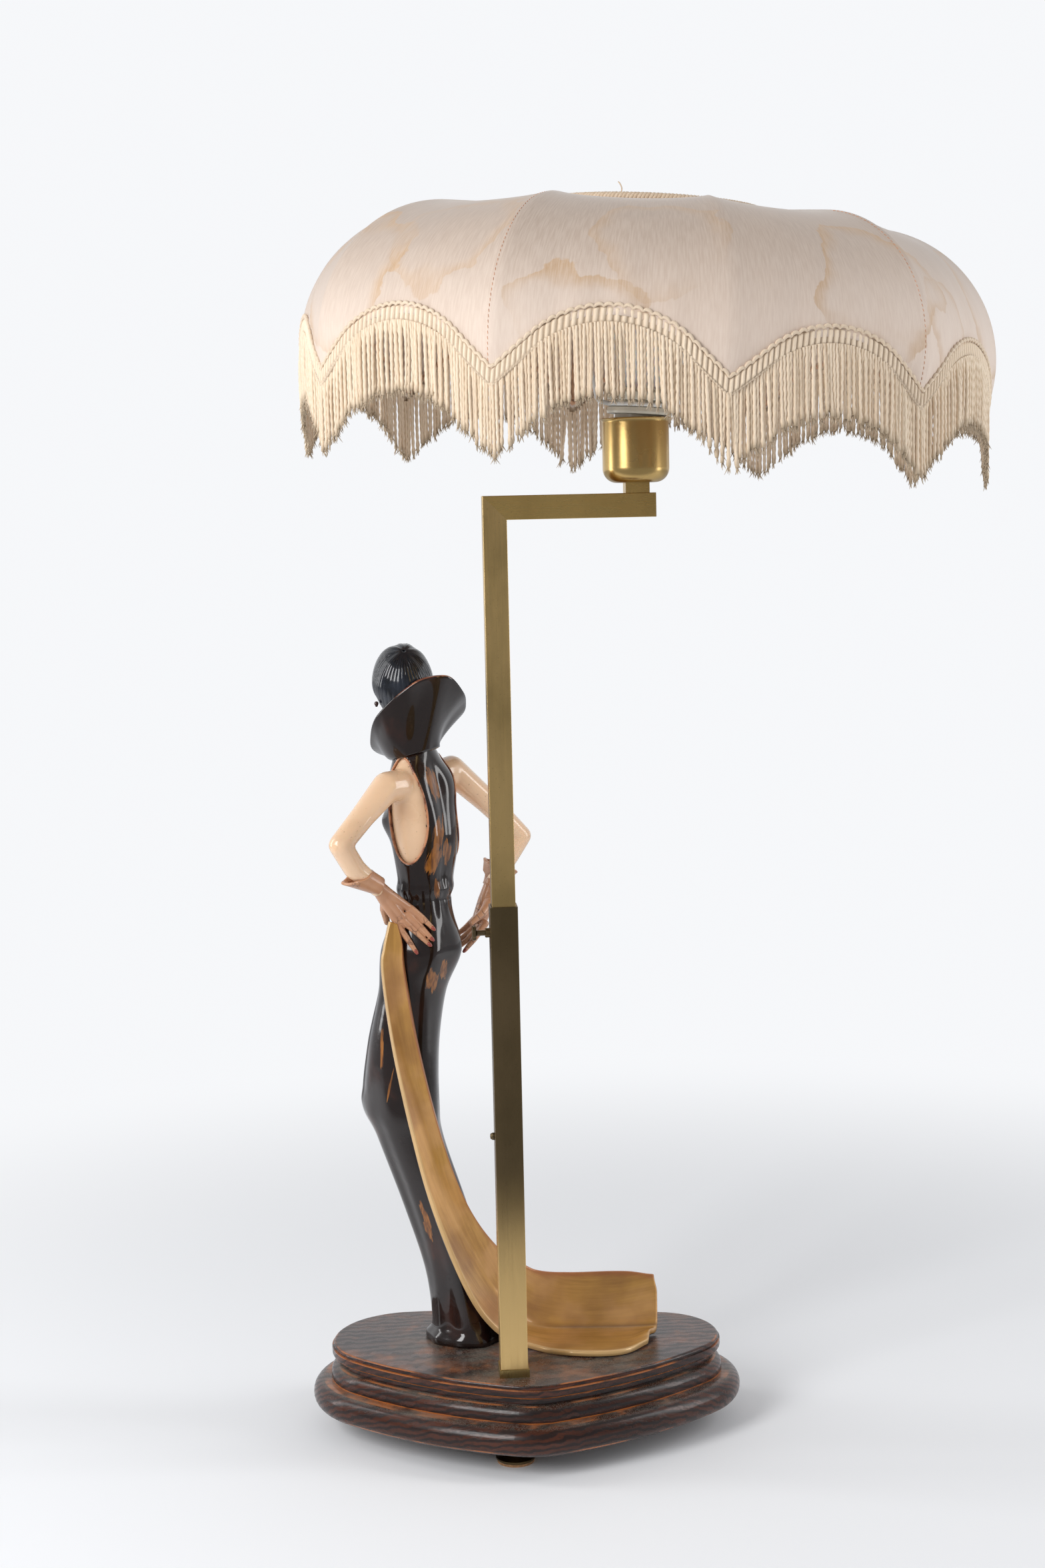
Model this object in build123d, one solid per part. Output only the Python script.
"""Table lamp with a standing figure: an oval moulded wooden base on three feet, a square brass post that
telescopes and is held by a thumb screw, a cranked arm, a brass cup with the lampholder, and a ten-panel
fabric shade with a scalloped fringe.

Millimetres, +Z up, +X along the arm, the post side of the base faces -Y.
The origin is on the table, under the middle of the lamp's outer box.
Each function below makes one piece or one group of like pieces; the last block writes them out.
"""
from build123d import *
from math import asin, atan, cos, degrees, radians, sin, sqrt
import os

# ---------------------------------------------------------------- driving dimensions
# heights of the base, from the table up
FOOT_HEIGHT = 17.0
PLINTH_HEIGHT = 22.0
COVE_HEIGHT = 18.0
TOP_HEIGHT = 10.0
PLINTH_Z = FOOT_HEIGHT
COVE_Z = PLINTH_Z + PLINTH_HEIGHT
TOP_Z = COVE_Z + COVE_HEIGHT
BASE_TOP = TOP_Z + TOP_HEIGHT

# the post stands left of the middle, because the arm carries the shade to the right
POST_X, POST_Y, POST_TURN = -97.0, -6.0, 3.84

# plan of the base about the post: three corner circles and the radii of the sides between them
CORNERS = ((15.0, 17.0, 47.0), (109.0, 79.5, 49.0), (-80.0, 82.0, 60.0))
SIDE_RADII = (300.0, 700.0, 300.0)
PLINTH_OUT = 15.0
POCKET_IN = -44.0
REBATE_IN = -38.0
COVER_PLATE_THICK = 3.0
POCKET_DEPTH = 12.0

FOOT_RADIUS = 14.7
PAD_THICK = 2.0
REAR_FEET = ((-112.0, 98.0), (134.0, 92.0))
ROD_RADIUS = 3.0
STUD_RADIUS = 2.5
PRESS_GAP = 0.05

# screws and the cable bush, about the post
FIXING_RADIUS = 2.0
FIGURE_FIXINGS = ((-48.0, 78.0), (-26.0, 82.0))
BOARD_FIXINGS = ((-76.0, 72.0), (86.0, 74.0), (14.0, 44.0), (-66.0, 87.0))
BUSH_OUTER, BUSH_BORE, BUSH_FLANGE, BUSH_LENGTH = 4.2, 3.2, 6.6, 20.0
BUSH_Z = PLINTH_Z + 8.0

# square brass tubes
OUTER_WIDTH, INNER_WIDTH, TUBE_WALL = 20.0, 17.0, 1.2
POST_HEIGHT = 348.1
COLLAR_Z = BASE_TOP + POST_HEIGHT
ARM_TOP = BASE_TOP + 640.4
STEM_BOTTOM = 333.0
ARM_END = 114.3
CAP_THICK = 1.5
FLANGE_WIDTH, FLANGE_HEIGHT = 22.0, 6.0

LOCK_Z = COLLAR_Z - 19.6
LOCK_DISC = (22.8, 2.8, 5.4)
BOSS_RADIUS, BOSS_LENGTH = 3.5, 3.5
LOCK_SHANK = 2.0
STOP_Z = COLLAR_Z - 169.6
STOP_SHANK, STOP_HEAD, STOP_HEAD_LENGTH = 1.5, 2.7, 3.4

# cup, nipple and lampholder
SOCKET_X = 101.3
STUB_HEIGHT = 7.3
CUP_RADIUS, CUP_HEIGHT, CUP_WALL, CUP_ROUND = 23.6, 45.0, 1.0, 10.0
CUP_BASE = ARM_TOP + STUB_HEIGHT
CUP_FLOOR = CUP_BASE + 2.0
NIPPLE_RADIUS, NIPPLE_BORE = 5.0, 3.5
HOLDER_TILT_X, HOLDER_TILT_Y = 0.77, 3.91
BULB_CENTRE, BULB_RADIUS = 106.0, 30.0
FLEX_RADIUS = 2.2
FLEX_OFFSET = 5.9
FLEX_GAP = 0.2

# shade, about its own leaning axis; heights are from the level of the ten lowest tips
TIP_LEVEL = 60.5
PANELS = 10
PANEL_ANGLE = 360.0 / PANELS
RIB_START = -7.83
RIB_SHIFTS = (0, 0, 0, 0, 0, 0, -1.5, 0.6, -0.25, -1.8)
RIB_CENTRE = (151.7, 26.0)
RIB_RADIUS = 89.4
RIB_WIRE = 1.5
TOP_SLOPE = 0.05
PANEL_BULGE = 5.0
RING_RADIUS, RING_WIRE = 78.0, 2.0
RING_Z = 118.3
TIP_Z = 1.1
SCALLOP_RISES = (40.0, 40.0, 40.0, 40.0, 40.0, 38.0, 40.2, 40.3, 35.2, 38.6)
STRAIGHT_SHARE = 0.62
COVER_GAP, COVER_THICK = 1.7, 1.0
SEAM_ANGLE = 0.02
BRAID_WIDTH, BRAID_THICK = 12.5, 2.0
FRINGE_LENGTH, FRINGE_THICK = 43.5, 2.6
FITTER_RADIUS, FITTER_WIRE, FITTER_Z = 21.5, 1.6, -8.5
SPIDER_ANGLES = (190.0, 310.0, 70.0)

# the figure, about the post
FIGURE_TURN = 50.0
TRAIN_THICK = 4.5
HEM_Z = BASE_TOP
NECK = (-66.0, 78.0)
RIM_NORMAL, RIM_ALONG = (-0.36, -0.15, 0.92), (0.92, 0.1, 0.38)
# gown: height above the hem, middle x and y, half the width along the shoulders and half the depth
GOWN_SECTIONS = (
    (0.0, -37.0, 82.0, 27.0, 30.0), (14.0, -37.0, 82.0, 23.0, 27.0), (55.0, -44.0, 80.0, 20.0, 24.0),
    (105.0, -57.0, 78.0, 22.0, 25.0), (160.0, -75.0, 76.0, 23.0, 27.0), (186.0, -80.5, 75.0, 25.0, 31.0),
    (230.0, -78.0, 76.0, 26.0, 27.0), (270.0, -71.0, 78.0, 27.0, 24.0), (305.0, -64.5, 80.0, 31.0, 27.0),
    (343.0, -59.5, 79.0, 22.0, 18.0), (390.0, -58.0, 78.0, 29.0, 22.0), (430.0, -60.0, 78.0, 30.0, 18.0),
    (462.0, -65.0, 78.0, 14.0, 13.0))
NECK_LINE = ((-66, 78, HEM_Z + 458), (-68.5, 76, HEM_Z + 472), (-71, 73, HEM_Z + 488))
HEAD_CENTRE = (-71.5, 72.0, HEM_Z + 505.0)
SKULL = (19.5, 20.5, 26.0)
EARRINGS = ((-91.8, 66.5, HEM_Z + 489), (-51.2, 77.5, HEM_Z + 489))
LEFT_SHOULDER, LEFT_ELBOW = (-82, 51, HEM_Z + 432), (-117, 17, HEM_Z + 392)
LEFT_WRIST = (-95, 37, HEM_Z + 360)
LEFT_FINGERS = ((-84, 46, HEM_Z + 348), (-72, 51, HEM_Z + 332), (-57, 49.5, HEM_Z + 315))
RIGHT_SHOULDER, RIGHT_ELBOW = (-38, 106, HEM_Z + 438), (15, 130, HEM_Z + 380)
RIGHT_WRIST = (-9, 118, HEM_Z + 346)
RIGHT_FINGERS = ((-20, 114, HEM_Z + 322), (-31, 108, HEM_Z + 312), (-38, 106, HEM_Z + 306))

RIB_ANGLES = [RIB_START + PANEL_ANGLE * i + shift for i, shift in enumerate(RIB_SHIFTS)]

# ---------------------------------------------------------------- frames
on_table = Pos(POST_X, POST_Y, 0)
post_frame = on_table * Rot(0, 0, POST_TURN)
arm_mid = ARM_TOP - INNER_WIDTH / 2
holder_frame = post_frame * Pos(SOCKET_X, 0, CUP_FLOOR) * Rot(0, 0, -POST_TURN)
holder_frame = holder_frame * Rot(HOLDER_TILT_X, HOLDER_TILT_Y, 0)
shade_frame = holder_frame * Pos(0, 0, TIP_LEVEL)


# ---------------------------------------------------------------- helpers
def side_centre(a, b, radius):
    """Centre of the side arc that touches corner circles a and b from outside."""
    dx, dy = b[0] - a[0], b[1] - a[1]
    span = sqrt(dx * dx + dy * dy)
    to_a, to_b = radius - a[2], radius - b[2]
    along = (to_a ** 2 - to_b ** 2 + span ** 2) / (2 * span)
    across = sqrt(to_a ** 2 - along ** 2)
    ux, uy = dx / span, dy / span
    return Vector(a[0] + ux * along - uy * across, a[1] + uy * along + ux * across)


# the bush stands at the middle of the back side's arc, and the cover screws on the pocket's ledge
BACK_CENTRE = side_centre(CORNERS[1], CORNERS[2], SIDE_RADII[1])
BUSH_X = BACK_CENTRE.X
BUSH_Y = BACK_CENTRE.Y + SIDE_RADII[1] + PLINTH_OUT - 2.8
LEDGE_IN = (POCKET_IN + REBATE_IN) / 2
COVER_SCREWS = ((CORNERS[2][0] - CORNERS[2][2] - LEDGE_IN, CORNERS[2][1]),
                (CORNERS[1][0] + CORNERS[1][2] + LEDGE_IN, CORNERS[1][1]),
                (BUSH_X, BACK_CENTRE.Y + SIDE_RADII[1] + LEDGE_IN))


def base_face(offset, z):
    """The base's plan at height z, with its edge moved outward by offset."""
    centres = [Vector(c[0], c[1]) for c in CORNERS]
    sides = [side_centre(CORNERS[i], CORNERS[(i + 1) % 3], SIDE_RADII[i]) for i in range(3)]
    edges = []
    for i in range(3):
        j = (i + 1) % 3
        reach = SIDE_RADII[i] + offset
        start = sides[i] + (centres[i] - sides[i]).normalized() * reach
        end = sides[i] + (centres[j] - sides[i]).normalized() * reach
        middle = sides[i] + ((start + end) * 0.5 - sides[i]).normalized() * reach
        edges.append(ThreePointArc(start, middle, end))
        corner_end = centres[j] + (centres[j] - sides[j]).normalized() * (CORNERS[j][2] + offset)
        outward = (end - centres[j]).normalized() + (corner_end - centres[j]).normalized()
        bulge = centres[j] + outward.normalized() * (CORNERS[j][2] + offset)
        edges.append(ThreePointArc(end, bulge, corner_end))
    return Pos(0, 0, z) * make_face(Wire(edges))


def base_slab(offset, z, height):
    return extrude(base_face(offset, z), height)


def rod(radius, z0, z1, x=0.0, y=0.0):
    """Upright cylinder from z0 to z1."""
    return Pos(x, y, (z0 + z1) / 2) * Cylinder(radius, z1 - z0)


def turned(*profile):
    """Solid of revolution about Z from (radius, height) points."""
    return revolve(Plane.XZ * make_face(Polyline(*profile, close=True)), Axis.Z)


def square_section(width):
    """Section of a square tube with lightly rounded corners."""
    inside = width - 2 * TUBE_WALL
    return RectangleRounded(width, width, 0.5) - RectangleRounded(inside, inside, 0.3)


def square_tube(width, z0, z1):
    return Pos(0, 0, z0) * extrude(square_section(width), z1 - z0)


def tube_along(points, radius, bends):
    """Round wire or flex along straight runs with arcs between them."""
    path = FilletPolyline(*points, radius=bends)
    return sweep(Plane(origin=path @ 0, z_dir=path % 0) * Circle(radius), path)


def square_block(width, height, z):
    """Upright block with lightly rounded corners that fits inside a square tube."""
    return Pos(0, 0, z) * extrude(RectangleRounded(width, width, 0.6), height)


# ---------------------------------------------------------------- base
def base_top_board():
    nose = fillet(base_slab(0, TOP_Z, 6.6).edges().group_by(Axis.Z)[0], 2.4)
    bead_top = base_slab(-1.2, TOP_Z + 6.6, 3.4)
    bead = fillet(bead_top.edges().group_by(Axis.Z)[-1], 2.2)
    board = nose + bead
    return board - post_holes(TOP_Z, BASE_TOP) - figure_holes(TOP_Z, BASE_TOP)


def base_cove_board():
    swell = fillet(base_slab(1.0, COVE_Z, 12.0).edges().group_by(Axis.Z)[-1], 8.0)
    neck = base_slab(-7.0, COVE_Z + 11.0, COVE_HEIGHT - 11.0)
    board = swell + neck
    return board - post_holes(COVE_Z, TOP_Z) - figure_holes(COVE_Z, TOP_Z) - board_holes(COVE_Z, TOP_Z - 3)


def base_plinth_board():
    slab = base_slab(PLINTH_OUT, PLINTH_Z, PLINTH_HEIGHT)
    board = fillet(slab.edges().group_by(Axis.Z)[-1] + slab.edges().group_by(Axis.Z)[0], 10.6)
    board -= base_slab(REBATE_IN, PLINTH_Z, COVER_PLATE_THICK)
    board -= base_slab(POCKET_IN, PLINTH_Z, POCKET_DEPTH)
    board -= Pos(0, 21.5, PLINTH_Z + POCKET_DEPTH / 2) * Box(8, 36, POCKET_DEPTH)
    board -= post_holes(PLINTH_Z, COVE_Z) + figure_holes(PLINTH_Z, COVE_Z) + board_holes(PLINTH_Z, COVE_Z)
    for x, y in REAR_FEET:
        board -= rod(STUD_RADIUS + PRESS_GAP, PLINTH_Z, PLINTH_Z + 14.2, x, y)
    for x, y in COVER_SCREWS:
        board -= rod(1.5 + PRESS_GAP, PLINTH_Z, PLINTH_Z + 11.2, x, y)
    passage = Pos(BUSH_X, BUSH_Y - 40, BUSH_Z) * Rot(90, 0, 0) * Cylinder(BUSH_OUTER + PRESS_GAP, 80)
    seat = Pos(BUSH_X, BUSH_Y + 3, BUSH_Z) * Rot(90, 0, 0) * Cylinder(BUSH_FLANGE + PRESS_GAP, 10)
    return board - passage - seat


def flex_spot():
    """Where the flex rises through the boards, beside the tie rod."""
    turn = radians(POST_TURN)
    return -FLEX_OFFSET * sin(turn), FLEX_OFFSET * cos(turn)


def post_holes(z0, z1):
    """Tie rod hole and flex hole through one board, under the post."""
    rod_hole = rod(ROD_RADIUS + PRESS_GAP, z0 - 1, z1 + 1)
    return rod_hole + rod(FLEX_RADIUS + FLEX_GAP, z0 - 1, z1 + 1, *flex_spot())


def figure_holes(z0, z1):
    return sum_of(rod(FIXING_RADIUS + PRESS_GAP, z0 - 1, z1 + 1, x, y) for x, y in FIGURE_FIXINGS)


def board_holes(z0, z1):
    return sum_of(rod(FIXING_RADIUS + PRESS_GAP, z0 - 1, z1, x, y) for x, y in BOARD_FIXINGS)


def sum_of(shapes):
    """Fuse a series of solids."""
    shapes = list(shapes)
    total = shapes[0]
    for shape in shapes[1:]:
        total += shape
    return total


def countersunk_screw(x, y, z_head, z_tip, radius, head):
    """Wood screw that points up from a flat head at z_head."""
    points = ((0, z_head), (head, z_head), (head, z_head + 0.8), (radius, z_head + 0.8 + head - radius),
              (radius, z_tip - 3), (0.4, z_tip), (0, z_tip))
    slot = Pos(0, 0, z_head + 0.3) * Box(2 * head + 1, 0.9, 0.9)
    return Pos(x, y, 0) * (turned(*points) - slot)


def cable_bush():
    """Flanged plastic bush in the back of the plinth, where a mains cord would enter."""
    face = 2.2
    tail = face - BUSH_LENGTH
    bush = turned((BUSH_BORE, 0), (BUSH_FLANGE, 0), (BUSH_FLANGE, face - 0.8), (BUSH_FLANGE - 0.8, face),
                  (BUSH_BORE, face))
    bush += turned((BUSH_BORE, tail), (BUSH_OUTER, tail), (BUSH_OUTER, 0), (BUSH_BORE, 0))
    return Pos(BUSH_X, BUSH_Y - 2.0, BUSH_Z) * Rot(-90, 0, 0) * bush


def bottom_cover():
    plate = base_slab(REBATE_IN - 0.3, PLINTH_Z, COVER_PLATE_THICK)
    holes = sum_of(rod(3.2, PLINTH_Z - 1, PLINTH_Z + 4, x, y) for x, y in COVER_SCREWS)
    return plate - holes


def cover_screws():
    return [countersunk_screw(x, y, PLINTH_Z + 0.2, PLINTH_Z + 11, 1.5, 3.0) for x, y in COVER_SCREWS]


def figure_screws():
    head_z = PLINTH_Z + POCKET_DEPTH - 3.0
    return [countersunk_screw(x, y, head_z, BASE_TOP + 18, FIXING_RADIUS, 3.8) for x, y in FIGURE_FIXINGS]


def board_screws():
    head_z = PLINTH_Z + POCKET_DEPTH - 3.0
    return [countersunk_screw(x, y, head_z, TOP_Z - 4, FIXING_RADIUS, 3.8) for x, y in BOARD_FIXINGS]


def foot(bore_radius, bore_top):
    """Trumpet-shaped brass foot, bored for its rod or stud."""
    profile = Plane.XZ * make_face(Wire([
        Line((0, PAD_THICK), (FOOT_RADIUS - 0.6, PAD_THICK)),
        Line((FOOT_RADIUS - 0.6, PAD_THICK), (FOOT_RADIUS, PAD_THICK + 0.8)),
        Line((FOOT_RADIUS, PAD_THICK + 0.8), (FOOT_RADIUS, PAD_THICK + 2.0)),
        ThreePointArc((FOOT_RADIUS, PAD_THICK + 2.0), (9.2, 7.6), (8.0, 12.5)),
        ThreePointArc((8.0, 12.5), (8.4, 15.2), (10.0, FOOT_HEIGHT)),
        Line((10.0, FOOT_HEIGHT), (0, FOOT_HEIGHT)),
        Line((0, FOOT_HEIGHT), (0, PAD_THICK)),
    ]))
    return revolve(profile, Axis.Z) - rod(bore_radius, PAD_THICK + 3, bore_top)


def foot_pads():
    spots = ((0.0, 0.0),) + REAR_FEET
    return [rod(FOOT_RADIUS - 1.0, 0, PAD_THICK - 0.02, x, y) for x, y in spots]


def foot_studs():
    top = PLINTH_Z + 14
    return [rod(STUD_RADIUS, PAD_THICK + 3.1, top, x, y) for x, y in REAR_FEET]


# ---------------------------------------------------------------- post
def tie_rod():
    return rod(ROD_RADIUS, PAD_THICK + 3.1, BASE_TOP + 30)


def post_plug():
    """Square block in the tube's foot, threaded for the tie rod and drilled for the flex."""
    block = square_block(OUTER_WIDTH - 2 * TUBE_WALL - 0.1, 25, BASE_TOP)
    wire_hole = rod(FLEX_RADIUS + FLEX_GAP, BASE_TOP - 1, BASE_TOP + 26, 0, FLEX_OFFSET)
    return block - rod(ROD_RADIUS + PRESS_GAP, BASE_TOP - 1, BASE_TOP + 26) - wire_hole


def post_flange():
    ring = Box(FLANGE_WIDTH, FLANGE_WIDTH, FLANGE_HEIGHT)
    ring = chamfer(ring.edges().group_by(Axis.Z)[-1], 0.4)
    hole = OUTER_WIDTH + 2 * PRESS_GAP
    return Pos(0, 0, BASE_TOP + FLANGE_HEIGHT / 2) * (ring - Box(hole, hole, FLANGE_HEIGHT + 1))


def side_hole(radius, z):
    """Cutter through the tube's left wall."""
    return Pos(-OUTER_WIDTH / 2, 0, z) * Rot(0, 90, 0) * Cylinder(radius, 6)


def outer_tube():
    tube = square_tube(OUTER_WIDTH, BASE_TOP, COLLAR_Z)
    return tube - side_hole(LOCK_SHANK + PRESS_GAP, LOCK_Z) - side_hole(STOP_SHANK + PRESS_GAP, STOP_Z)


def sideways(profile, z):
    """Turned piece laid along the post's left side; heights in the profile are distances from its axis."""
    return Pos(0, 0, z) * Rot(0, -90, 0) * turned(*profile)


def lock_boss():
    wall = OUTER_WIDTH / 2
    bore = LOCK_SHANK + PRESS_GAP
    return sideways(((bore, wall), (BOSS_RADIUS, wall), (BOSS_RADIUS, wall + BOSS_LENGTH - 0.5),
                     (BOSS_RADIUS - 0.5, wall + BOSS_LENGTH), (bore, wall + BOSS_LENGTH)), LOCK_Z)


def lock_screw():
    """Thumb screw: thin round disc on a plain shank that presses on the inner tube."""
    far, thick, radius = LOCK_DISC
    tip = INNER_WIDTH / 2 + 0.1
    back = far - thick
    return sideways(((0, tip), (LOCK_SHANK - 0.4, tip), (LOCK_SHANK, tip + 0.4), (LOCK_SHANK, back - 0.8),
                     (3.2, back), (radius - 0.3, back), (radius, back + 0.4), (radius, far - 0.4),
                     (radius - 0.3, far), (0, far)), LOCK_Z)


def stop_screw():
    """Slotted round-head screw; its tip stands inside the tube and stops the stem."""
    wall = OUTER_WIDTH / 2
    tip = wall - TUBE_WALL - 2.2
    screw = sideways(((0, tip), (STOP_SHANK, tip), (STOP_SHANK, wall + 0.02), (STOP_HEAD, wall + 0.02),
                      (STOP_HEAD, wall + 1.6), (STOP_HEAD - 0.9, wall + STOP_HEAD_LENGTH - 0.3),
                      (0, wall + STOP_HEAD_LENGTH)), STOP_Z)
    slot = Pos(-wall - STOP_HEAD_LENGTH, 0, STOP_Z) * Box(2.0, 0.8, 2 * STOP_HEAD + 1)
    return screw - slot


# ---------------------------------------------------------------- stem and arm
def mitre_plane():
    return Plane(origin=(0, 0, arm_mid), z_dir=(1, 0, 1))


def inner_tube():
    upright = square_tube(INNER_WIDTH, STEM_BOTTOM, ARM_TOP + 1)
    return split(upright, bisect_by=mitre_plane(), keep=Keep.BOTTOM)


def arm_tube():
    start = -INNER_WIDTH / 2 - 1
    bar = extrude(square_section(INNER_WIDTH), ARM_END - CAP_THICK - start)
    bar = Pos(start, 0, arm_mid) * Rot(0, 90, 0) * bar
    bar = split(bar, bisect_by=mitre_plane(), keep=Keep.TOP)
    return bar - rod(NIPPLE_RADIUS + PRESS_GAP, arm_mid, ARM_TOP + 1, SOCKET_X)


def arm_end_cap():
    plate = Pos(ARM_END - CAP_THICK / 2, 0, arm_mid) * Box(CAP_THICK, INNER_WIDTH, INNER_WIDTH)
    inside = INNER_WIDTH - 2 * TUBE_WALL - 0.1
    tongue = Pos(ARM_END - CAP_THICK - 3, 0, arm_mid) * Rot(0, 90, 0) * square_block(inside, 3, 0)
    return plate + tongue


def arm_stub():
    block = Pos(SOCKET_X, 0, ARM_TOP + STUB_HEIGHT / 2) * Box(INNER_WIDTH, INNER_WIDTH, STUB_HEIGHT)
    return block - rod(NIPPLE_RADIUS + PRESS_GAP, ARM_TOP - 1, CUP_BASE + 1, SOCKET_X)


def nipple():
    """Hollow threaded tube that ties arm, stub, cup and lampholder together and carries the flex."""
    low, high = ARM_TOP - 5.0, CUP_FLOOR + 9.0
    return rod(NIPPLE_RADIUS, low, high, SOCKET_X) - rod(NIPPLE_BORE, low - 1, high + 1, SOCKET_X)


def nipple_nuts():
    nuts = []
    for z in (ARM_TOP - TUBE_WALL - 3.05, CUP_BASE + CUP_WALL + 0.05):
        nut = extrude(RegularPolygon(7.0, 6, major_radius=False), 3.0)
        nut = Pos(SOCKET_X, 0, z) * nut
        nuts.append(nut - rod(NIPPLE_RADIUS + PRESS_GAP, z - 1, z + 4, SOCKET_X))
    return nuts


def socket_cup():
    """Spun brass cup with a rounded bottom edge and a small flared lip."""
    inner, top = CUP_RADIUS - CUP_WALL, CUP_HEIGHT
    turn = CUP_ROUND
    rise = sqrt(0.5)
    outer_mid = (CUP_RADIUS - turn + turn * rise, turn - turn * rise)
    small = turn - CUP_WALL
    inner_mid = (CUP_RADIUS - turn + small * rise, turn - small * rise)
    hole = NIPPLE_RADIUS + PRESS_GAP
    profile = Plane.XZ * make_face(Wire([
        Line((hole, 0), (CUP_RADIUS - turn, 0)),
        ThreePointArc((CUP_RADIUS - turn, 0), outer_mid, (CUP_RADIUS, turn)),
        Line((CUP_RADIUS, turn), (CUP_RADIUS, top - 3.0)),
        ThreePointArc((CUP_RADIUS, top - 3.0), (CUP_RADIUS + 0.4, top - 1.4), (CUP_RADIUS + 1.4, top - 0.5)),
        Line((CUP_RADIUS + 1.4, top - 0.5), (CUP_RADIUS + 1.2, top)),
        Line((CUP_RADIUS + 1.2, top), (CUP_RADIUS + 0.2, top)),
        ThreePointArc((CUP_RADIUS + 0.2, top), (inner + 0.4, top - 1.2), (inner, top - 3.0)),
        Line((inner, top - 3.0), (inner, turn)),
        ThreePointArc((inner, turn), inner_mid, (CUP_RADIUS - turn, CUP_WALL)),
        Line((CUP_RADIUS - turn, CUP_WALL), (hole, CUP_WALL)),
        Line((hole, CUP_WALL), (hole, 0)),
    ]))
    return Pos(SOCKET_X, 0, CUP_BASE) * revolve(profile, Axis.Z)


# ---------------------------------------------------------------- lampholder, on its leaning axis
def holder_cap():
    """Domed plastic half that sits over the nipple and holds the terminals."""
    return turned((6.2, 4.5), (9.0, 4.5), (16.5, 10.0), (17.5, 14.0), (17.5, 27.0), (15.5, 27.0),
                  (15.5, 15.0), (9.0, 9.5), (6.2, 9.5))


def holder_body():
    """Plastic outer shell with the flange that carries the shade and the thread above it."""
    return turned((16.0, 27.1), (17.5, 27.1), (17.5, 45.0), (23.0, 45.6), (23.4, 47.2), (22.8, 50.0),
                  (19.2, 50.0), (19.2, 62.5), (17.6, 63.5), (16.0, 63.5))


def holder_insert():
    """Porcelain disc with the contacts' seats."""
    disc = turned((0, 22.0), (15.0, 22.0), (15.0, 31.5), (0, 31.5))
    for angle in (0, 180):
        disc -= Rot(0, 0, angle) * Pos(8.5, 0, 23) * Box(4, 4, 4)
    return disc


def holder_contacts():
    """Centre spring tab and side tab, two separate pieces on the porcelain disc."""
    centre = Pos(0, 0, 32.2) * Box(7, 4, 1.2)
    side = Pos(11.3, 0, 33.5) * Box(1.0, 4, 3.8)
    return [centre, side]


def thread_shell():
    """Thin brass shell that takes the lamp's cap."""
    return turned((14.2, 32.0), (14.9, 32.0), (14.9, 58.0), (14.2, 58.0))


def shade_ring():
    """Plastic ring nut that clamps the shade on the flange."""
    ring = turned((19.5, 55.2), (23.0, 55.2), (23.5, 56.0), (23.5, 60.2), (22.6, 61.0), (19.5, 61.0))
    for step in range(24):
        ring -= Rot(0, 0, 15 * step) * Pos(23.75, 0, 58) * Cylinder(0.5, 8)
    return ring


def bulb_cap():
    return turned((0, 33.2), (4.5, 33.2), (5.5, 35.0), (11.0, 38.0), (13.2, 40.0), (13.2, 58.5), (0, 58.5))


def bulb_glass():
    """Pear-shaped glass bulb above its cap."""
    belly_start = -28.0
    belly = CenterArc((0, BULB_CENTRE), BULB_RADIUS, belly_start, 90 - belly_start)
    profile = Plane.XZ * make_face(Wire([
        Line((0, 58.6), (13.0, 58.6)),
        ThreePointArc((13.0, 58.6), (17.0, 76.0), belly @ 0),
        belly,
        Line((0, BULB_CENTRE + BULB_RADIUS), (0, 58.6)),
    ]))
    return revolve(profile, Axis.Z)


# ---------------------------------------------------------------- internal wiring
def terminal_block():
    """Two-way connector in the base pocket, between the bush and the post."""
    block = Pos(30, 72, PLINTH_Z + 8) * Box(20, 16, 7.6)
    for step in (-1, 1):
        block -= Pos(30, 72 + 4 * step, PLINTH_Z + 8) * Rot(0, 90, 0) * Cylinder(1.6, 24)
        block -= rod(1.5, PLINTH_Z + 4, PLINTH_Z + 7, 30, 72 + 4 * step)
    return block


def flex_in_base():
    z = PLINTH_Z + 6.5
    wire_x, wire_y = flex_spot()
    points = ((18.6, 70, z), (2, 62, z), (wire_x, 30, z), (wire_x, wire_y, z + 2), (wire_x, wire_y, BASE_TOP))
    return tube_along(points, FLEX_RADIUS, (12, 20, 4))


def flex_in_post():
    points = ((0, FLEX_OFFSET, BASE_TOP), (0, FLEX_OFFSET, BASE_TOP + 45), (0, 0, BASE_TOP + 95),
              (0, 0, arm_mid - 8))
    return tube_along(points, FLEX_RADIUS, (120, 120))


def flex_in_arm():
    points = ((0, 0, arm_mid - 8), (0, 0, arm_mid), (SOCKET_X, 0, arm_mid), (SOCKET_X, 0, CUP_FLOOR + 12))
    return tube_along(points, FLEX_RADIUS, (5, 5))


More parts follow.
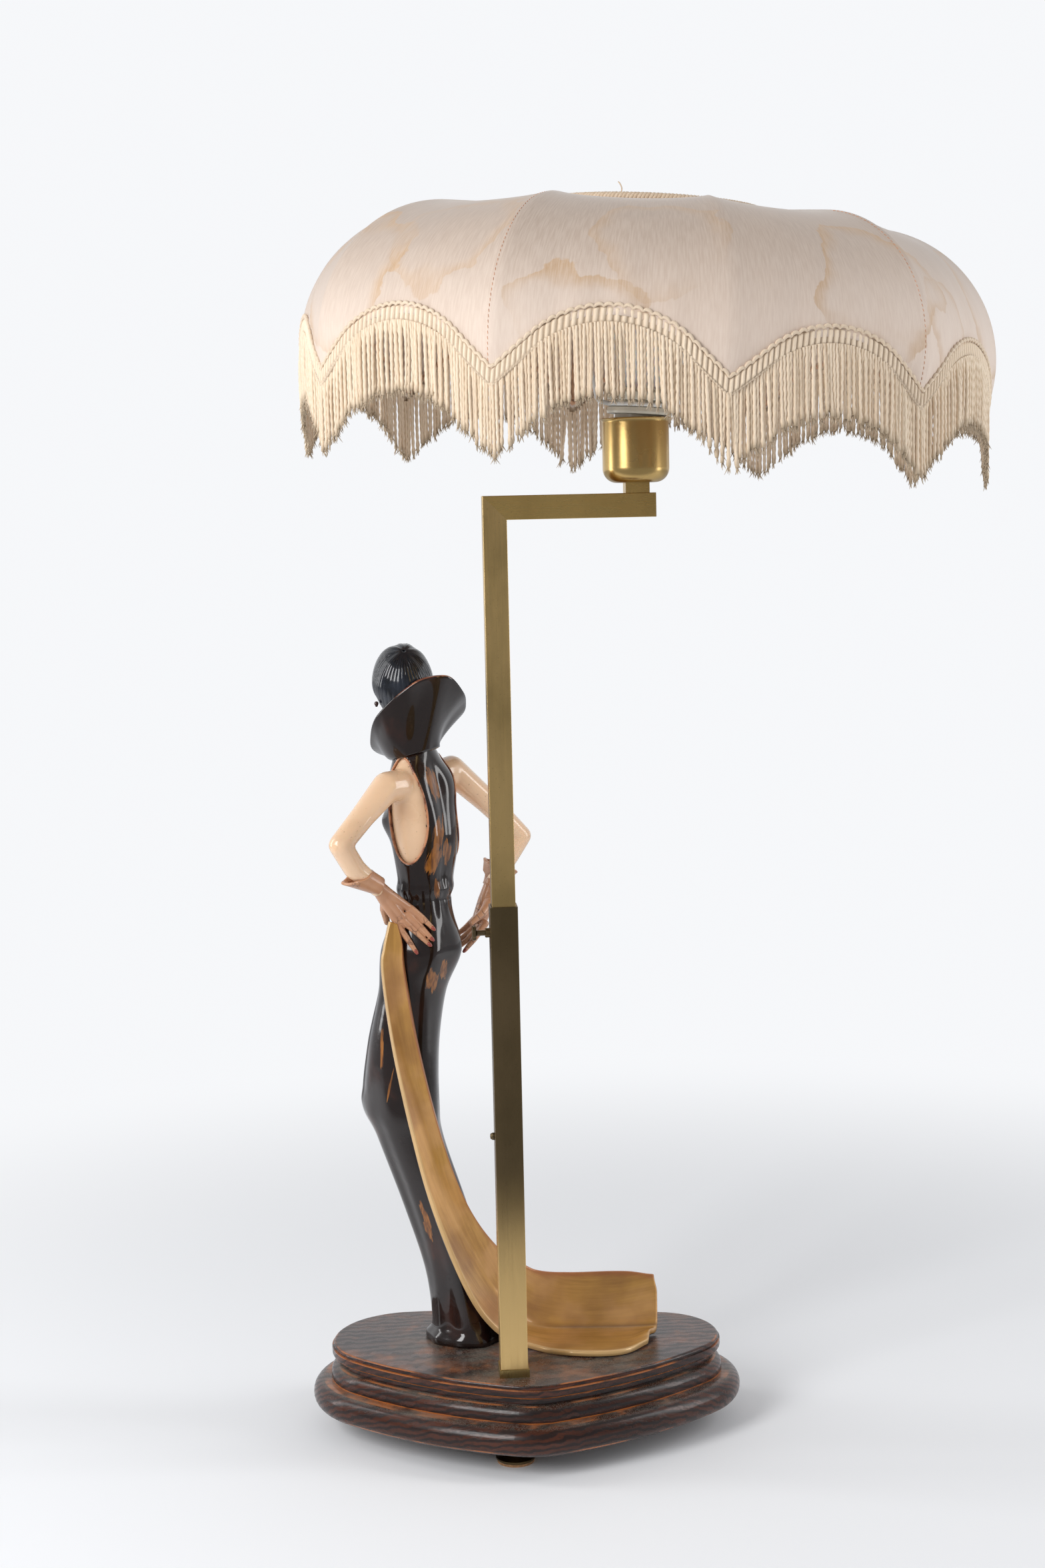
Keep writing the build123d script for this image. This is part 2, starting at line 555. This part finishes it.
# ---------------------------------------------------------------- shade frame
def rib_wires():
    """Ten bent wires from the top ring over the shoulder to the tips."""
    cx, cz = RIB_CENTRE
    low = asin(-(cz - 2.5) / RIB_RADIUS)
    tip = (cx + RIB_RADIUS * cos(low), cz + RIB_RADIUS * sin(low))
    shoulder = (cx + RIB_RADIUS * cos(radians(45)), cz + RIB_RADIUS * sin(radians(45)))
    turn = atan(TOP_SLOPE)
    crest = (cx + RIB_RADIUS * sin(turn), cz + RIB_RADIUS * cos(turn))
    ring_end = RING_RADIUS + 2.1
    path = Wire([Line((ring_end, crest[1] + (crest[0] - ring_end) * TOP_SLOPE), crest),
                 ThreePointArc(crest, shoulder, tip)])
    path = Plane.XZ * path
    wire = sweep(Plane(origin=path @ 0, z_dir=path % 0) * Circle(RIB_WIRE), path)
    return [Rot(0, 0, angle) * wire for angle in RIB_ANGLES]


def top_ring():
    return Pos(0, 0, RING_Z) * Torus(RING_RADIUS, RING_WIRE)


def spider_fitter():
    """Carrier ring that sits on the lampholder, with three arms up to the top ring."""
    ring = Pos(0, 0, FITTER_Z) * Torus(FITTER_RADIUS, FITTER_WIRE)
    for angle in SPIDER_ANGLES:
        points = ((FITTER_RADIUS + 0.4, 0, FITTER_Z), (31, 0, FITTER_Z + 2), (34, 0, 6),
                  (RING_RADIUS - 3.2, 0, RING_Z - 3.2))
        ring += Rot(0, 0, angle) * tube_along(points, FITTER_WIRE, (5, 20))
    return ring


# ---------------------------------------------------------------- shade skin: ten panels
def wall_face(inner, outer, bottom, inside_radius, cx=RIB_CENTRE[0], inside_share=1.0):
    """Upright section of the shade's wall, between two distances from the rib's line."""
    cz = RIB_CENTRE[1]
    turn = atan(TOP_SLOPE)

    def wall(gap):
        reach = RIB_RADIUS + gap
        low = asin(-cz / reach)
        foot_x = cx + reach * cos(low)
        middle = radians((90 + degrees(low)) / 2)
        halfway = (cx + reach * cos(middle), cz + reach * sin(middle))
        crest = (cx + reach * sin(turn), cz + reach * cos(turn))
        crest_of_rib = RIB_CENTRE[0] + reach * sin(turn)
        inside = (inside_radius * inside_share, crest[1] + (crest_of_rib - inside_radius) * TOP_SLOPE)
        return ThreePointArc(crest, halfway, (foot_x, 0)), foot_x, crest, inside

    inner_arc, inner_foot, inner_crest, inner_end = wall(inner)
    outer_arc, outer_foot, outer_crest, outer_end = wall(outer)
    edges = [Line(inner_end, inner_crest), inner_arc, Line((inner_foot, 0), (inner_foot, bottom)),
             Line((inner_foot, bottom), (outer_foot, bottom)), Line((outer_foot, bottom), (outer_foot, 0)),
             outer_arc, Line(outer_crest, outer_end), Line(outer_end, inner_end)]
    return make_face(Wire(edges))


def scallop_prism(width, rise, low_shift, high_shift):
    """Strip between two copies of the scalloped edge, as a cutter for one panel; None leaves it open above."""
    tip_radius = RIB_CENTRE[0] + sqrt(RIB_RADIUS ** 2 - RIB_CENTRE[1] ** 2)
    half = (tip_radius + 6) * sin(radians(width / 2))
    bend = STRAIGHT_SHARE * half
    bend_rise = STRAIGHT_SHARE * rise

    def edge_line(shift):
        low = shift + TIP_Z
        return [Line((-half, low), (-bend, bend_rise + low)),
                ThreePointArc((-bend, bend_rise + low), (0, rise + low), (bend, bend_rise + low)),
                Line((bend, bend_rise + low), (half, low))]

    edges = edge_line(low_shift)
    if high_shift is None:
        low, top = low_shift + TIP_Z, 140.0
        edges += [Line((half, low), (half, top)), Line((half, top), (-half, top)), Line((-half, top), (-half, low))]
    else:
        edges += edge_line(high_shift)
        edges += [Line((side, low_shift + TIP_Z), (side, high_shift + TIP_Z)) for side in (-half, half)]
    outline = Plane(origin=(60, 0, 0), x_dir=(0, 1, 0), z_dir=(1, 0, 0)) * make_face(Wire(edges))
    return extrude(outline, 260)


def shade_skin(inner, outer, low_shift, high_shift, inside_radius=150.0, seam=0.0):
    """Ten panels spanned between the ribs and bowed a little, cut to a scalloped strip."""
    panels = []
    for i in range(PANELS):
        start, end = RIB_ANGLES[i], RIB_ANGLES[(i + 1) % PANELS]
        width = (end - start) % 360
        half_turn = width / 2 - seam
        squeeze = cos(radians(width / 2))
        middle_x = (RIB_CENTRE[0] + RIB_RADIUS) * squeeze + PANEL_BULGE - RIB_RADIUS
        edge = Plane.XZ * wall_face(inner, outer, -75.0, inside_radius)
        middle = Plane.XZ * wall_face(inner, outer, -75.0, inside_radius, middle_x, squeeze)
        panel = loft([Rot(0, 0, -half_turn) * edge, middle, Rot(0, 0, half_turn) * edge], ruled=True)
        panel &= scallop_prism(width, SCALLOP_RISES[i], low_shift, high_shift)
        panels.append(Rot(0, 0, start + width / 2) * panel)
    return panels


def shade_cover():
    """The ten panels of the cover, one solid each."""
    return shade_skin(COVER_GAP, COVER_GAP + COVER_THICK, -6.0, None, RING_RADIUS + 1.0, SEAM_ANGLE)


def rim_wire():
    return sum_of(shade_skin(-RIB_WIRE, RIB_WIRE, -5.0, -2.0))


def gimp_braid():
    inner = COVER_GAP + COVER_THICK + 0.1
    return sum_of(shade_skin(inner, inner + BRAID_THICK, -BRAID_WIDTH, 0.0))


def fringe():
    """The fringe, in one length for each panel."""
    inner = COVER_GAP + COVER_THICK + 0.1
    low = -BRAID_WIDTH - FRINGE_LENGTH
    return shade_skin(inner, inner + FRINGE_THICK, low, -BRAID_WIDTH - 0.05, seam=SEAM_ANGLE)


def top_braid():
    reach = RIB_RADIUS + COVER_GAP + COVER_THICK
    turn = atan(TOP_SLOPE)
    low = RIB_CENTRE[1] + reach * cos(turn) + (RIB_CENTRE[0] + reach * sin(turn) - 75.5) * TOP_SLOPE + 0.1
    return turned((75.5, low), (83.0, low), (83.0, low + 3.4), (80.5, low + 6.4), (75.5, low + 6.4))


# ---------------------------------------------------------------- figure
def oval(z, x, y, half_side, half_depth, turn=FIGURE_TURN):
    """Level oval section of the body; its long way runs along the shoulders."""
    heading = radians(turn)
    plane = Plane(origin=(x, y, z), x_dir=(cos(heading), sin(heading), 0), z_dir=(0, 0, 1))
    return plane * Ellipse(half_side, half_depth)


def limb(points, radii):
    """Rounded limb through a few joints: tapered spans between balls."""
    solid = Pos(*points[0]) * Sphere(radii[0])
    for (start, end), (r0, r1) in zip(zip(points, points[1:]), zip(radii, radii[1:])):
        direction = Vector(*end) - Vector(*start)
        ends = [Plane(origin=spot, z_dir=direction) * Circle(r) for spot, r in ((start, r0), (end, r1))]
        solid += loft(ends)
        solid += Pos(*end) * Sphere(r1)
    return solid


def figure_gown():
    """Body of the gown from hem to neck, with the open funnel collar."""
    sections = [oval(HEM_Z + z, x, y, a, b) for z, x, y, a, b in GOWN_SECTIONS]
    body = loft(sections)
    foot_outer = oval(HEM_Z + 452, NECK[0], NECK[1], 14, 13)
    foot_inner = oval(HEM_Z + 459, NECK[0], NECK[1], 11, 10.5)
    rim_outer = Plane(origin=(-58, 76, HEM_Z + 486), x_dir=RIM_ALONG, z_dir=RIM_NORMAL) * Ellipse(38, 31)
    rim_inner = Plane(origin=(-58.6, 75.7, HEM_Z + 488), x_dir=RIM_ALONG, z_dir=RIM_NORMAL)
    rim_inner *= Ellipse(35.5, 28.5)
    collar = loft([foot_outer, rim_outer], ruled=True) - loft([foot_inner, rim_inner], ruled=True)
    gown = body + collar
    gown -= limb(NECK_LINE, (8.6, 8.4, 8.2))
    for x, y in FIGURE_FIXINGS:
        gown -= rod(FIXING_RADIUS + PRESS_GAP, BASE_TOP - 1, BASE_TOP + 18.2, x, y)
    return gown


def figure_head():
    """Head and neck, without features: the face and hair are finished on the visual model."""
    skull = Pos(*HEAD_CENTRE) * scale(Sphere(1.0), by=SKULL)
    return skull + limb(NECK_LINE, (8.2, 8.0, 7.8))


# near edge, valley and far edge of the train, from the hip down and then along the floor
TRAIN_SECTIONS = (
    ((-84, 47, 330), (-81.5, 48.5, 329), (-79, 48, 328)),
    ((-88.8, 44, 310), (-82, 47.5, 311), (-75.8, 46.5, 313)),
    ((-90.3, 43, 292), (-82, 48, 291), (-75, 45, 292)),
    ((-83.7, 40.5, 238), (-75.5, 47, 237), (-67, 44, 239)),
    ((-71.2, 40.5, 173), (-61.5, 51, 170), (-51.8, 50, 169.5)),
    ((-57.4, 42, 116), (-45.5, 59, 109), (-33, 62, 111.5)),
    ((-32.6, 42, 50), (-15, 73, 37), (-11, 77, 72)),
    ((-10.8, 45, 17), (8, 78, 12), (11, 90, 52)),
    ((18, 42, 4.6), (24, 79, 5.5), (24, 93, 46)),
    ((45, 29, 4.6), (45, 78, 4.6), (45, 94, 44)),
    ((80, 29, 4.6), (80, 77, 4.6), (80, 95, 44)),
    ((102, 50, 5.0), (111, 78, 4.6), (112, 96, 42)),
)


def train_section(near, valley, far):
    """Bent strip of even thickness through three points, in the plane that holds them."""
    near, valley, far = (Vector(x, y, HEM_Z + z) for x, y, z in (near, valley, far))
    along = (far - near).normalized()
    normal = (valley - near).cross(far - near).normalized()
    plane = Plane(origin=near, x_dir=along, z_dir=normal)
    upper = [plane.to_local_coords(p) for p in (near, valley, far)]
    outline = [(p.X, p.Y) for p in upper] + [(p.X, p.Y - TRAIN_THICK) for p in upper[::-1]]
    return plane * make_face(Polyline(*outline, close=True))


def figure_train():
    """Train of the gown: it peels off the hip, sweeps down and ends as a scoop along the floor."""
    sections = [train_section(*points) for points in TRAIN_SECTIONS]
    strip = sum_of(loft(pair, ruled=True) for pair in zip(sections, sections[1:])) - figure_gown()
    strip -= glove(LEFT_WRIST, LEFT_ELBOW, LEFT_FINGERS)
    return strip.solids().sort_by(SortBy.VOLUME)[-1]


def figure_left_arm():
    return limb((LEFT_SHOULDER, LEFT_ELBOW, LEFT_WRIST), (10.5, 8.5, 6.4)) - figure_gown()


def figure_right_arm():
    return limb((RIGHT_SHOULDER, RIGHT_ELBOW, RIGHT_WRIST), (10, 8, 6.4)) - figure_gown()


def glove(wrist, elbow, fingers):
    """Gloved hand with a turned-back cuff round the wrist."""
    toward = (Vector(*elbow) - Vector(*wrist)).normalized()
    cuff_ends = [Plane(origin=Vector(*wrist) + toward * reach, z_dir=toward) * Circle(radius)
                 for reach, radius in ((2, 8.2), (10, 11.2))]
    cuff = loft(cuff_ends)
    hand = limb((wrist,) + fingers, (7.0, 7.5, 6.5, 3.2))
    arm_hole = limb((elbow, wrist), (8.05, 6.45))
    return hand + cuff - arm_hole


def earrings():
    """Two small drop earrings."""
    return [Pos(*spot) * Sphere(1.6) for spot in EARRINGS]


# ---------------------------------------------------------------- write every piece
def all_pieces():
    """Name of each node to its shape, or list of shapes, in the row's frame."""
    pieces = {
        "base_top_board": on_table * base_top_board(),
        "base_cove_board": on_table * base_cove_board(),
        "base_plinth_board": on_table * base_plinth_board(),
        "cable_bush": on_table * cable_bush(),
        "bottom_cover": on_table * bottom_cover(),
        "cover_screws": [on_table * s for s in cover_screws()],
        "figure_screws": [on_table * s for s in figure_screws()],
        "board_screws": [on_table * s for s in board_screws()],
        "foot_front": on_table * foot(ROD_RADIUS + PRESS_GAP, FOOT_HEIGHT + 1),
        "foot_pads": [on_table * s for s in foot_pads()],
        "foot_studs": [on_table * s for s in foot_studs()],
        "tie_rod": on_table * tie_rod(),
        "post_plug": post_frame * post_plug(),
        "post_flange": post_frame * post_flange(),
        "outer_tube": post_frame * outer_tube(),
        "lock_boss": post_frame * lock_boss(),
        "lock_screw": post_frame * lock_screw(),
        "stop_screw": post_frame * stop_screw(),
        "inner_tube": post_frame * inner_tube(),
        "arm_tube": post_frame * arm_tube(),
        "arm_end_cap": post_frame * arm_end_cap(),
        "arm_stub": post_frame * arm_stub(),
        "nipple": post_frame * nipple(),
        "nipple_nuts": [post_frame * s for s in nipple_nuts()],
        "socket_cup": post_frame * socket_cup(),
        "holder_cap": holder_frame * holder_cap(),
        "holder_body": holder_frame * holder_body(),
        "holder_insert": holder_frame * holder_insert(),
        "holder_contacts": [holder_frame * s for s in holder_contacts()],
        "thread_shell": holder_frame * thread_shell(),
        "shade_ring": holder_frame * shade_ring(),
        "bulb_cap": holder_frame * bulb_cap(),
        "bulb_glass": holder_frame * bulb_glass(),
        "terminal_block": on_table * terminal_block(),
        "flex_in_base": on_table * flex_in_base(),
        "flex_in_post": post_frame * flex_in_post(),
        "flex_in_arm": post_frame * flex_in_arm(),
        "rib_wires": [shade_frame * s for s in rib_wires()],
        "top_ring": shade_frame * top_ring(),
        "spider_fitter": shade_frame * spider_fitter(),
        "rim_wire": shade_frame * rim_wire(),
        "shade_cover": [shade_frame * s for s in shade_cover()],
        "gimp_braid": shade_frame * gimp_braid(),
        "fringe": [shade_frame * s for s in fringe()],
        "top_braid": shade_frame * top_braid(),
        "figure_gown": on_table * figure_gown(),
        "figure_train": on_table * figure_train(),
        "figure_head": on_table * figure_head(),
        "figure_left_arm": on_table * figure_left_arm(),
        "figure_right_arm": on_table * figure_right_arm(),
        "figure_left_glove": on_table * (glove(LEFT_WRIST, LEFT_ELBOW, LEFT_FINGERS) - figure_gown()),
        "figure_right_glove": on_table * glove(RIGHT_WRIST, RIGHT_ELBOW, RIGHT_FINGERS),
        "figure_earrings": [on_table * s for s in earrings()],
    }
    for name, (x, y) in zip(("foot_rear_left", "foot_rear_right"), REAR_FEET):
        pieces[name] = on_table * Pos(x, y, 0) * foot(STUD_RADIUS + PRESS_GAP, FOOT_HEIGHT + 1)
    return pieces


def main():
    os.makedirs("parts", exist_ok=True)
    for name, shape in all_pieces().items():
        if isinstance(shape, list):
            shape = Compound(children=shape)
        export_step(shape, f"parts/{name}.step")


main()
